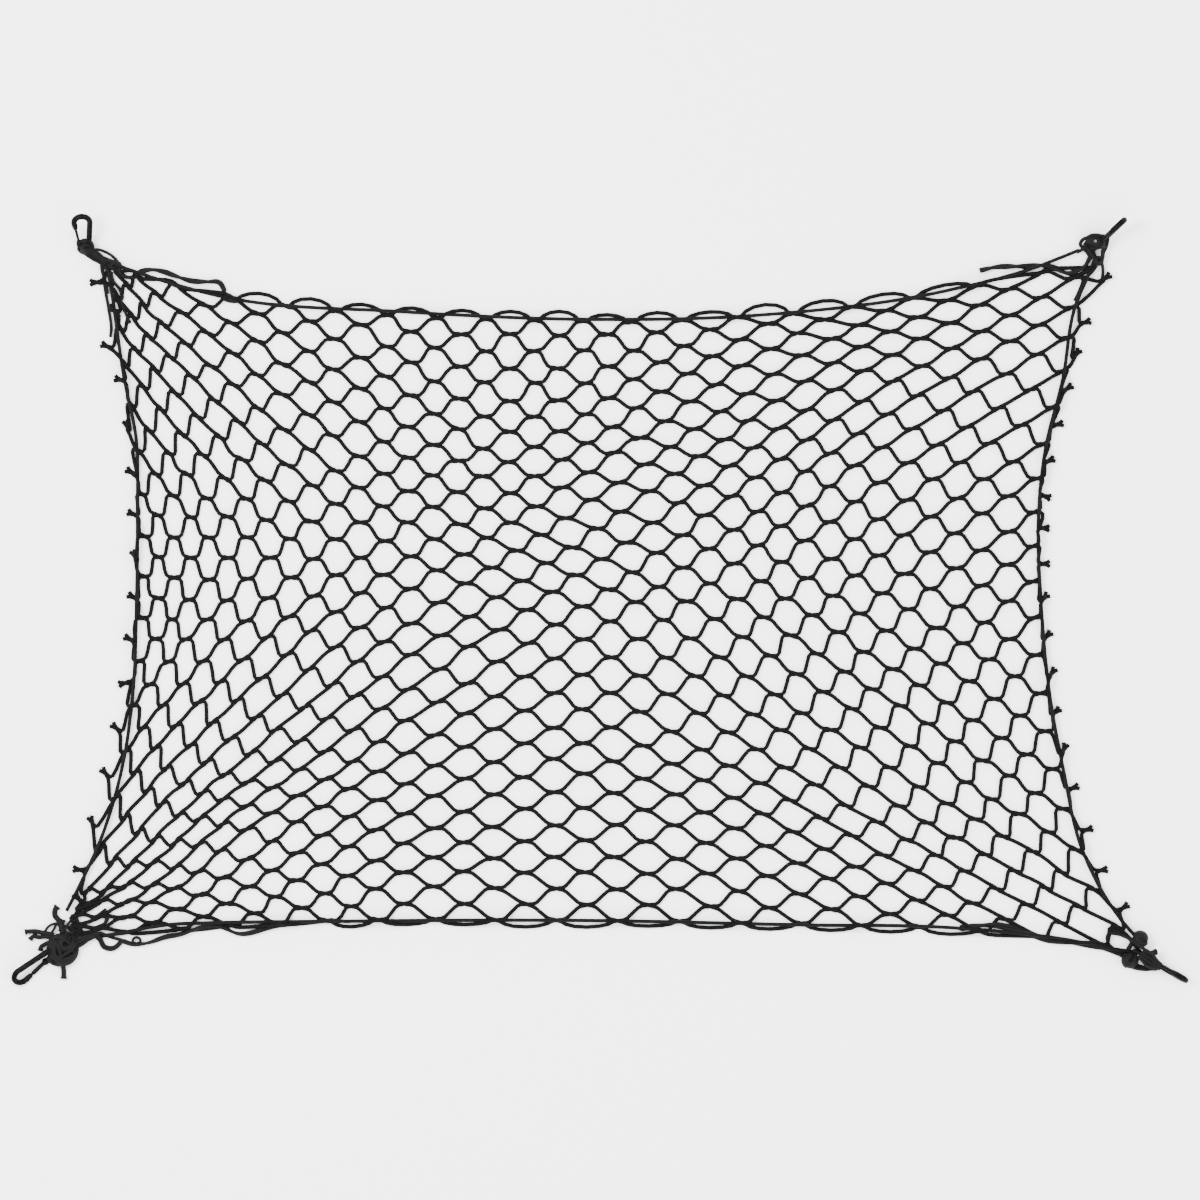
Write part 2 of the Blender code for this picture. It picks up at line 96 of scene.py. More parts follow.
# How far outside the last bars the side meshes' cut joints stand, by row
REACH_ROWS = (-18, -13, -9, -5, 3, 8, 11, 13, 20)
LEFT_REACH_MM = (14, 10, 0, 2, 3, 9, 7, -4, -6)
RIGHT_REACH_MM = (12, 5, 1, 0, 4, 6, 8, 9, 10)
# Side joints that the corner ties pull out of this lie: (column, row) and place in plan
PULLED_JOINTS_MM = {(19, -16): (583, 371), (-20, -15): (-560, 334), (-20, -11): (-553, 254)}
# Routes of the edge cords, in plan, from one corner to the next
EDGE_CORDS_MM = {
    "edge_cord_top": (
        (-564, 389), (-545, 382), (-435, 350), (-231, 333), (-12, 324),
        (185, 329), (404, 358), (508, 386), (531, 395), (553, 404),
    ),
    "edge_cord_bottom": (
        (-574, -388), (-552, -384), (-520, -378), (-490, -374), (-462, -373), (-312, -371),
        (-12, -370), (231, -375), (416, -379), (560, -396), (607, -407),
    ),
    "edge_cord_left": (
        (-567, 376), (-563, 350), (-549, 254), (-536, 190), (-534, 100),
        (-535, 0), (-540, -115), (-551, -190), (-574, -270), (-602, -332), (-616, -359),
    ),
    "edge_cord_right": (
        (571, 392), (563, 373), (550, 343), (534, 254), (514, 173), (506, 90),
        (509, 0), (520, -115), (535, -196), (557, -289), (604, -372), (618, -388),
    ),
}
CORD = 4.4 * MM
CORD_LEVEL = TWINE + CORD / 2  # height of the cords' middle: they lie on the twines
# Where the last meshes run into each corner tie: right and above the middle, then height
CORNERS_MM = {
    "top_left": (-574, 391, 6), "top_right": (571, 384, 5),
    "bottom_left": (-598, -385, 7), "bottom_right": (625, -408, 7),
}


def knot_weights(knots, at):
    """Cubic Hermite weights: row p times the values at the knots gives the value at at[p].

    Each knot's slope is the mean of the chords beside it, weighted by the other's width.
    """
    count = len(knots)
    values = np.eye(count)
    spans = np.diff(knots)
    chords = np.diff(values, axis=0) / spans[:, None]
    before, after = spans[:-1, None], spans[1:, None]
    slopes = np.zeros((count, count))
    slopes[1:-1] = (chords[:-1] * after + chords[1:] * before) / (before + after)
    slopes[0] = 1.5 * chords[0] - 0.5 * slopes[1]
    slopes[-1] = 1.5 * chords[-1] - 0.5 * slopes[-2]
    cell = np.clip(np.searchsorted(knots, at, side="right") - 1, 0, count - 2)
    width = spans[cell][:, None]
    t = (at - knots[cell])[:, None] / width
    return (
        (2 * t**3 - 3 * t**2 + 1) * values[cell]
        + (t**3 - 2 * t**2 + t) * width * slopes[cell]
        + (3 * t**2 - 2 * t**3) * values[cell + 1]
        + (t**3 - t**2) * width * slopes[cell + 1]
    )


def smooth_route(points, count):
    """Evenly spread points on a smooth curve through the given ones."""
    points = np.array(points, float)
    steps = np.linalg.norm(np.diff(points, axis=0), axis=1)
    along = np.concatenate(((0.0,), np.cumsum(steps)))
    return knot_weights(along, np.linspace(0.0, along[-1], count)) @ points


def unit(vectors):
    """Each vector divided by its length."""
    return vectors / np.maximum(np.linalg.norm(vectors, axis=-1, keepdims=True), 1e-12)


def tube_rings(points, along, radii, sides):
    """Round sections: each point plus its radius times the cosine of an angle on the level
    direction across the run, and the sine on the direction across both."""
    across = unit(np.cross(along, (0.0, 0.0, 1.0)))
    upward = np.cross(across, along)
    angles = np.arange(sides) * 2 * np.pi / sides
    ring = np.cos(angles)[:, None] * across[:, None] + np.sin(angles)[:, None] * upward[:, None]
    return points[:, None] + radii[:, None, None] * ring


def tube_mesh(name, rings, links, run, starts, ends):
    """Joins linked pairs of rings with four-sided faces and closes the starts and ends.

    links holds pairs of ring numbers, and run the distance along at the first of each pair.
    The UV map is turns round the tube, and metres along it.
    """
    count, sides = rings.shape[:2]
    corner = np.arange(sides)
    after = (corner + 1) % sides
    first, second = links[:, :1] * sides, links[:, 1:] * sides
    quads = np.stack((first + corner, second + corner, second + after, first + after), axis=2)
    quads = quads.reshape(-1, 4)
    start_caps = starts[:, None] * sides + corner
    end_caps = ends[:, None] * sides + corner[::-1]
    caps = np.concatenate((start_caps, end_caps))
    mesh = bpy.data.meshes.new(name)
    mesh.vertices.add(count * sides)
    mesh.vertices.foreach_set("co", rings.reshape(-1))
    loops = np.concatenate((quads.reshape(-1), caps.reshape(-1)))
    mesh.loops.add(len(loops))
    mesh.loops.foreach_set("vertex_index", loops)
    sizes = np.concatenate((np.full(len(quads), 4), np.full(len(caps), sides)))
    mesh.polygons.add(len(sizes))
    mesh.polygons.foreach_set("loop_start", np.concatenate(((0,), np.cumsum(sizes)[:-1])))
    mesh.update(calc_edges=True)
    lengths = np.linalg.norm(
        rings[links[:, 1]].mean(axis=1) - rings[links[:, 0]].mean(axis=1), axis=1
    )
    turns = np.stack((corner, corner, corner + 1, corner + 1), axis=1) / sides
    metres = np.stack((run, run + lengths, run + lengths, run), axis=1)
    uv = np.zeros((len(loops), 2))
    uv[: len(quads) * 4, 0] = np.broadcast_to(turns, (len(links), sides, 4)).reshape(-1)
    uv[: len(quads) * 4, 1] = np.repeat(metres[:, None], sides, axis=1).reshape(-1)
    mesh.uv_layers.new(name="along").data.foreach_set("uv", uv.reshape(-1))
    mesh.shade_smooth()
    mesh.validate()
    piece = bpy.data.objects.new(name, mesh)
    bpy.context.scene.collection.objects.link(piece)
    return piece


def braided(name, dark, light, pitch, turns, depth, roughness, specular=0.03):
    """A braided cover: two sets of yarns cross on the slant, so height follows the product of two
    sines, of distance along plus and minus turns round the tube, plus fine noise. The colour
    runs from dark to light with that height: painted shade in the grooves between the yarns,
    painted light on their crests, and random tone from the noise."""
    material = bpy.data.materials.new(name)
    material.use_nodes = True
    nodes, links = material.node_tree.nodes, material.node_tree.links
    shader = nodes["Principled BSDF"]
    shader.inputs["Roughness"].default_value = roughness
    shader.inputs["Sheen Weight"].default_value = 0.01
    shader.inputs["Sheen Roughness"].default_value = 0.5
    shader.inputs["Specular IOR Level"].default_value = specular
    place = nodes.new("ShaderNodeUVMap")
    place.uv_map = "along"
    split = nodes.new("ShaderNodeSeparateXYZ")
    links.new(place.outputs["UV"], split.inputs[0])
    waves = []
    for hand in (1, -1):
        around = nodes.new("ShaderNodeMath")
        around.operation = "MULTIPLY"
        around.inputs[1].default_value = hand * turns * 2 * np.pi
        links.new(split.outputs["X"], around.inputs[0])
        phase = nodes.new("ShaderNodeMath")
        phase.operation = "MULTIPLY_ADD"
        phase.inputs[1].default_value = 2 * np.pi / pitch
        links.new(split.outputs["Y"], phase.inputs[0])
        links.new(around.outputs[0], phase.inputs[2])
        wave = nodes.new("ShaderNodeMath")
        wave.operation = "SINE"
        links.new(phase.outputs[0], wave.inputs[0])
        waves.append(wave)
    cross = nodes.new("ShaderNodeMath")
    cross.operation = "MULTIPLY"
    links.new(waves[0].outputs[0], cross.inputs[0])
    links.new(waves[1].outputs[0], cross.inputs[1])
    fuzz = nodes.new("ShaderNodeTexNoise")
    fuzz.inputs["Scale"].default_value = 900.0
    where = nodes.new("ShaderNodeTexCoord")
    links.new(where.outputs["Object"], fuzz.inputs["Vector"])
    height = nodes.new("ShaderNodeMath")
    height.operation = "MULTIPLY_ADD"
    height.inputs[1].default_value = 0.5
    links.new(cross.outputs[0], height.inputs[0])
    links.new(fuzz.outputs["Fac"], height.inputs[2])
    # Base colour from the height: painted shade in the braid's grooves, painted light on its crests,
    # and random tone from the fine noise.
    tint = nodes.new("ShaderNodeValToRGB")
    tint.color_ramp.elements[0].color = (*dark, 1.0)
    tint.color_ramp.elements[1].color = (*light, 1.0)
    links.new(height.outputs[0], tint.inputs[0])
    links.new(tint.outputs[0], shader.inputs["Base Color"])
    bump = nodes.new("ShaderNodeBump")
    bump.inputs["Strength"].default_value = 0.6
    bump.inputs["Distance"].default_value = depth
    links.new(height.outputs[0], bump.inputs["Height"])
    links.new(bump.outputs["Normal"], shader.inputs["Normal"])
    return material


def lattice_sites():
    """Column and row of each joint: every second place of the grid, less the side joints in
    the corners, where the last twines run into the corner ties."""
    columns = np.arange(FIRST_COLUMN, LAST_COLUMN + 1)
    rows = np.arange(FIRST_ROW, LAST_ROW + 1)
    site = np.stack(np.meshgrid(columns, rows, indexing="ij"), axis=-1).reshape(-1, 2)
    site = site[(site.sum(axis=1) % 2) == 1]
    at_side = (site[:, 0] == FIRST_COLUMN) | (site[:, 0] == LAST_COLUMN)
    at_end = (site[:, 1] == FIRST_ROW) | (site[:, 1] == LAST_ROW)
    tied_in = (site[:, 0] == FIRST_COLUMN) & (site[:, 1] >= FIRST_TIED_ROW)
    return site[~((at_side & at_end) | tied_in)]


def plan_of(columns, rows):
    """Plan position for mesh columns and rows, smoothly through the two tables."""
    across = knot_weights(MESH_COLUMNS, columns)
    down = knot_weights(MESH_ROWS, rows)
    x = np.einsum("pr,rc,pc->p", down, RIGHT_OF_MIDDLE_MM, across)
    y = np.einsum("pr,rc,pc->p", down, ABOVE_MIDDLE_MM, across)
    return np.stack((x, y), axis=1) * MM


def joint_centres(site, uneven):
    """Plan position of each joint, a little uneven inside the net, and with the cut side
    joints set outside the mean of their two neighbours."""
    inside = np.clip(site[:, 0], FIRST_COLUMN + 1, LAST_COLUMN - 1)
    centre = plan_of(inside.astype(float), site[:, 1].astype(float))
    edge = (
        (site[:, 0] <= FIRST_COLUMN + 1) | (site[:, 0] >= LAST_COLUMN - 1)
        | (site[:, 1] == FIRST_ROW) | (site[:, 1] == LAST_ROW)
    )
    centre += uneven * np.where(edge, EDGE_UNEVEN, 1.0)[:, None]
    centre[site[:, 1] == FIRST_ROW, 1] -= EDGE_DIP
    for column, inner, hand, reach in (
        (FIRST_COLUMN, FIRST_COLUMN + 1, -1, LEFT_REACH_MM),
        (LAST_COLUMN, LAST_COLUMN - 1, 1, RIGHT_REACH_MM),
    ):
        mine = site[:, 0] == column
        row = site[mine, 1].astype(float)
        beside = (plan_of(np.full(len(row), float(inner)), row - 1)
                  + plan_of(np.full(len(row), float(inner)), row + 1)) / 2
        out = BAR / 2 + CUT_BAR / 2 + np.interp(row, REACH_ROWS, reach) * MM
        beside[:, 0] += hand * out
        centre[mine] = beside + CUT_UNEVEN * uneven[mine]
    for place, pulled_to in PULLED_JOINTS_MM.items():
        centre[(site == place).all(axis=1)] = np.array(pulled_to) * MM
    return centre


def joint_ways(site):
    """Direction of each bar, and the width of its column as a share of a wide one. The slants
    are the steps along the mesh down to the right and up to the right, and a bar lies between
    them, drawn far more to the one pulled longer."""
    column = np.clip(site[:, 0], MESH_COLUMNS[0], MESH_COLUMNS[-1]).astype(float)
    row = site[:, 1].astype(float)
    right = np.minimum(column + 1, MESH_COLUMNS[-1])
    left = np.maximum(column - 1, MESH_COLUMNS[0])
    lower = np.minimum(row + 1, MESH_ROWS[-1])
    upper = np.maximum(row - 1, MESH_ROWS[0])
    across = (plan_of(right, row) - plan_of(left, row)) / (right - left)[:, None]
    narrow = np.minimum(np.linalg.norm(across, axis=1) / WIDE_COLUMN, 1.0)
    down = (plan_of(column, lower) - plan_of(column, upper)) / (lower - upper)[:, None]
    total = np.zeros_like(across)
    for slope in (across + down, across - down):
        total += slope * np.linalg.norm(slope, axis=1, keepdims=True) ** SLANT_BIAS
    return unit(total), narrow


rng = np.random.default_rng(5)
site = lattice_sites()
number = np.full((LAST_COLUMN - FIRST_COLUMN + 4, LAST_ROW - FIRST_ROW + 4), -1)
number[site[:, 0] - FIRST_COLUMN, site[:, 1] - FIRST_ROW] = np.arange(len(site))
cut = (site[:, 0] == FIRST_COLUMN) | (site[:, 0] == LAST_COLUMN)
ways, narrow = joint_ways(site)
bar = np.where(cut, CUT_BAR, BAR * narrow)
centre = joint_centres(site, rng.normal(0.0, UNEVEN, (len(site), 2)))

# Each twine takes one of two slants: 0 runs down to the right and 1 runs up to the right.
# At the top and bottom edges it turns back along the edge to the joint after the next.
joint = np.tile(np.arange(len(site)), 2)
slant = np.repeat((0, 1), len(site))
step = np.where(slant == 0, 1, -1)
turns_top = (slant == 1) & (site[joint, 1] == FIRST_ROW)
turns_bottom = (slant == 0) & (site[joint, 1] == LAST_ROW)
arch = turns_top | turns_bottom
ahead_column = site[joint, 0] + np.where(arch, 2, 1) - FIRST_COLUMN
ahead_row = site[joint, 1] + np.where(arch, 0, step) - FIRST_ROW
ahead_joint = number[ahead_column, ahead_row]
ahead_slant = np.where(arch, 1 - slant, slant)
ahead = np.where(ahead_joint >= 0, ahead_joint + ahead_slant * len(site), -1)
has_ahead = ahead >= 0
has_behind = np.zeros(len(joint), bool)
has_behind[ahead[has_ahead]] = True
swing = rng.normal(0.0, BAR_SWING, len(site))
ways = unit(ways + swing[:, None] * np.stack((-ways[:, 1], ways[:, 0]), axis=1))
# The cut side joints point out and upwards, each at its own angle
rise = rng.normal(CUT_RISE, CUT_RISE_SPREAD, len(site))
tilted = np.stack((np.cos(rise), np.sign(site[:, 0]) * np.sin(rise)), axis=1)
ways = np.where(cut[:, None], tilted, ways)

# Height of each joint: on the surface, with low uneven waves, and rising to the corner ties
level = TWINE / 2 + np.abs(rng.normal(0.0, WAVE, len(site)))
corner_points = np.array(list(CORNERS_MM.values())) * MM
away = np.linalg.norm(centre[:, None] - corner_points[None, :, :2], axis=2).min(axis=1)
level += CORNER_LIFT * np.exp(-((away / CORNER_WIDTH) ** 2))

left_end = np.column_stack((centre - ways * bar[:, None] / 2, level))
right_end = np.column_stack((centre + ways * bar[:, None] / 2, level))
way = np.column_stack((ways, np.zeros(len(ways))))
above = np.column_stack((-ways[:, 1], ways[:, 0], np.zeros(len(ways))))
upward = np.array((0.0, 0.0, 1.0))
hand = np.where(slant == 0, 1.0, -1.0)[:, None]


def bar_points(turn):
    """A twine in its bar: from end to end, offset by a half-turn helix of radius PLY."""
    angle = np.pi * turn
    offset = np.cos(angle) * above[joint] + np.sin(angle) * upward
    run = left_end[joint] + turn * (right_end - left_end)[joint]
    return run + hand * PLY * offset


bar_turns = (0.0, 0.33, 0.67, 1.0)
bar_run = np.stack([bar_points(turn) for turn in bar_turns], axis=1)

# Where each twine goes after its bar: the next bar, a cut end, or a corner tie
near_corner = np.array([
    np.linalg.norm(corner_points[:, :2] - end[:2], axis=1).argmin() for end in centre
])
splay = hand * above[joint] * CUT_SPLAY
cut_after = right_end[joint] + CUT_END * (way[joint] - splay)
cut_before = left_end[joint] - CUT_END * (way[joint] - splay)
into_tie = corner_points[near_corner[joint]]
target = np.where(cut[joint][:, None], cut_after, into_tie)
target[has_ahead] = bar_run[ahead[has_ahead], 0]
source = np.where(cut[joint][:, None], cut_before, into_tie)

# The bow of each leg: slack ones hang in an uneven curve, and edge ones arch outwards
span = target - bar_run[:, -1]
span_length = np.linalg.norm(span, axis=1)
slack = np.clip(MOST_SLACK - (span_length - SLACK_LEG) / SLACK_FADE, 0.1, MOST_SLACK)
sideways = unit(np.cross(span, upward))
bow = sideways * (rng.normal(0.0, LEG_BOW, len(joint)) * slack)[:, None]
bow[~has_ahead] = 0.0
arch_swing = rng.uniform(0.75, 1.25, len(joint))
bow[turns_top & has_ahead] = (0.0, 1.0, 0.0)
bow[turns_bottom & has_ahead] = (0.0, -1.0, 0.0)
across_mm = centre[joint, 0] / MM
calm_top = (across_mm < CALM_TOP_MM[0]) | (across_mm > CALM_TOP_MM[1])
calm_bottom = (across_mm < CALM_BOTTOM_MM[0]) | (across_mm > CALM_BOTTOM_MM[1])
calm = np.where(np.where(turns_top, calm_top, calm_bottom), CALM_ARCH, 1.0)
reach = np.where(turns_top, ARCH_TOP, ARCH_BOTTOM) * arch_swing * calm
bow = np.where((arch & has_ahead)[:, None], bow * reach[:, None], bow)


def leg_points(start, end, start_way, end_way, bend, t):
    """A leg: a cubic Bezier curve that leaves and meets the bars in line with them, plus a
    bend that is greatest halfway."""
    length = np.linalg.norm(end - start, axis=1)
    handle = np.minimum(HANDLE_SHARE * length, HANDLE_MOST)[:, None]
    first, last = start + handle * start_way, end - handle * end_way
    curve = (
        (1 - t) ** 3 * start + 3 * t * (1 - t) ** 2 * first
        + 3 * t**2 * (1 - t) * last + t**3 * end
    )
    return curve + 4 * t * (1 - t) * bend


next_way = way[joint].copy()
next_way[has_ahead] = way[joint[ahead[has_ahead]]]
next_way[~has_ahead] = unit(span[~has_ahead])
early = [
    np.where(arch, on_arch, on_leg)[:, None] for on_arch, on_leg in zip(ARCH_POINTS, LEG_POINTS)
]
leaving = [leg_points(bar_run[:, -1], target, way[joint], next_way, bow, t) for t in early]
halfway = leg_points(bar_run[:, -1], target, way[joint], next_way, bow, 0.5)
late = 1 - early[1], 1 - early[0]
arriving = [leg_points(bar_run[:, -1], target, way[joint], next_way, bow, t) for t in late]
# Every twine in a joint: three points in from the leg behind it, four in its bar, two out
inward = np.zeros((len(joint), 3, 3))
back = np.flatnonzero(has_ahead)
inward[ahead[back]] = np.stack((halfway[back], arriving[0][back], arriving[1][back]), axis=1)
front = ~has_behind
lead = source[front]
entry = unit(bar_run[front, 0] - lead)
inward[front] = np.stack([
    leg_points(lead, bar_run[front, 0], entry, way[joint[front]], 0 * lead, t)
    for t in (0.0, 0.4, 0.8)
], axis=1)
passes = np.concatenate((inward, bar_run, np.stack(leaving, axis=1)), axis=1)
STATIONS = passes.shape[1]
finish_points = target[~has_ahead]
points = np.concatenate((passes.reshape(-1, 3), finish_points))

# Twines pass over and under the edge cords in turn: a point near a cord goes up over it
# where its joint is one of every second, and otherwise stays down
goes_over = (site[:, 0] // 2 + site[:, 1] // 2) % 2 == 0
over = np.concatenate((np.repeat(goes_over[joint], STATIONS), goes_over[joint[~has_ahead]]))
CORD_PLACES = 260  # places on each cord that the twines' points are measured from
POINTS_AT_ONCE = 700
cord_plan = np.concatenate([
    smooth_route(route, CORD_PLACES) * MM for route in EDGE_CORDS_MM.values()
])
cord_gap = np.concatenate([
    np.sqrt(((points[part, None, :2] - cord_plan[None]) ** 2).sum(axis=2)).min(axis=1)
    for part in np.array_split(np.arange(len(points)), len(points) // POINTS_AT_ONCE)
])
station_level = np.concatenate((np.repeat(level[joint], STATIONS), level[joint[~has_ahead]]))
hop = np.where(over, CORD_LEVEL + (CORD + TWINE) / 2, TWINE / 2) - station_level
points[:, 2] += hop * np.exp(-((cord_gap / HOP_WIDTH) ** 4))

order = np.arange(len(passes) * STATIONS).reshape(len(passes), STATIONS)
after = np.full(len(passes), -1)
after[has_ahead] = order[ahead[has_ahead], 0]
after[~has_ahead] = len(passes) * STATIONS + np.arange(len(finish_points))
inner_links = np.stack((order[:, :-1].reshape(-1), order[:, 1:].reshape(-1)), axis=1)
links = np.concatenate((inner_links, np.stack((order[:, -1], after), axis=1)))
steps = np.linalg.norm(np.diff(passes, axis=1), axis=2)
run = np.concatenate((np.zeros((len(passes), 1)), np.cumsum(steps, axis=1)), axis=1)
run = np.concatenate((run[:, :-1].reshape(-1), run[:, -1]))
ahead_of = np.arange(len(points))
ahead_of[links[:, 0]] = links[:, 1]
behind_of = np.arange(len(points))
behind_of[links[:, 1]] = links[:, 0]
along = unit(points[ahead_of] - points[behind_of])
radii = np.full(len(points), TWINE / 2)
rings = tube_rings(points, along, radii, TWINE_SIDES)
net = tube_mesh("netting", rings, links, run, order[front, 0], after[~has_ahead])
# The twine's colour is partly painted: shade in the braid's grooves and light on its crests, with
# random tone from fine noise.
net.data.materials.append(braided(
    "elastic_twine", (0.0008, 0.0008, 0.0009), (0.004, 0.004, 0.0042), 3.2 * MM, 2, 0.3 * MM, 0.75
))
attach(net, "root")
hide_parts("net")


# --- Edge cords --------------------------------------------------------------------------
# One elastic cord with a braided cover along each side, threaded over and under the edge
# meshes. The left one ends in a cut end a little short of its knot.
CORD_SIDES = 12
CORD_STEP = 1.6 * MM
# The cord's colour is partly painted: shade in the braid's grooves and light on its crests, with random
# tone from fine noise.
cord_cover = braided(
    "elastic_cord", (0.001, 0.001, 0.0011), (0.006, 0.006, 0.0064), 2.6 * MM, 6, 0.25 * MM, 0.6
)


def steady_frame(along):
    """Two directions across a run that turn as little as they can: rough ones are taken
    against a fixed direction, and their own turning from point to point is added up and
    turned back."""
    rough = unit(np.cross(along, (0.13, 0.21, 0.97)))
    normal = np.cross(rough, along)
    carried = rough[:-1] - along[1:] * (rough[:-1] * along[1:]).sum(axis=1, keepdims=True)
    turned = np.arctan2((carried * normal[1:]).sum(axis=1), (carried * rough[1:]).sum(axis=1))
    angle = np.concatenate(((0.0,), np.cumsum(turned)))[:, None]
    side = np.cos(angle) * rough + np.sin(angle) * normal
    return side, np.cross(side, along)


def cord_rings(points, radii, sides=CORD_SIDES):
    """Round sections on a run of points: each point plus its radius times the cosine of an
    angle on one steady direction across the run, and the sine on the other."""
    side, normal = steady_frame(unit(np.gradient(points, axis=0)))
    angle = (np.arange(sides) * 2 * np.pi / sides)[:, None]
    ring = np.cos(angle) * side[:, None] + np.sin(angle) * normal[:, None]
    return points[:, None] + np.broadcast_to(radii, len(points))[:, None, None] * ring


def joined_runs(name, runs):
    """One piece from separate runs of rings, each closed at both ends."""
    counts = np.array([len(run) for run in runs])
    finish = np.cumsum(counts) - 1
    start = finish - counts + 1
    rings = np.concatenate(runs)
    middle = rings.mean(axis=1)
    steps = np.linalg.norm(np.diff(middle, axis=0), axis=1)
    steps[finish[:-1]] = 0.0
    travelled = np.concatenate(((0.0,), np.cumsum(steps)))
    first = np.setdiff1d(np.arange(len(rings)), finish)
    pairs = np.stack((first, first + 1), axis=1)
    return tube_mesh(name, rings, pairs, travelled[first], start, finish)


for cord_name, route in EDGE_CORDS_MM.items():
    length = np.linalg.norm(np.diff(np.array(route, float), axis=0), axis=1).sum() * MM
    plan = smooth_route(route, int(length / CORD_STEP)) * MM
    lie = np.column_stack((plan, np.full(len(plan), CORD_LEVEL)))
    cord = joined_runs(f"{cord_name}_braided", [cord_rings(lie, CORD / 2)])
    cord.data.materials.append(cord_cover)
    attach(cord, "root")
    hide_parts(cord_name)


# --- Corner ties -------------------------------------------------------------------------
# At each corner the cord ends and a handful of the last twines are wound round the narrow
# end of the hook and knotted. Loose loops and cut tails stand out from the knots.
TIE_SIDES = 10
TIE_STEP = 1.1 * MM
# The tie cords' colour is partly painted: shade in the braid's grooves and light on its crests, with
# random tone from fine noise.
tie_cover = braided(
    "tie_cord", (0.0006, 0.0006, 0.0007), (0.007, 0.007, 0.0073), 2.4 * MM, 5, 0.3 * MM, 0.5, 0.04
)
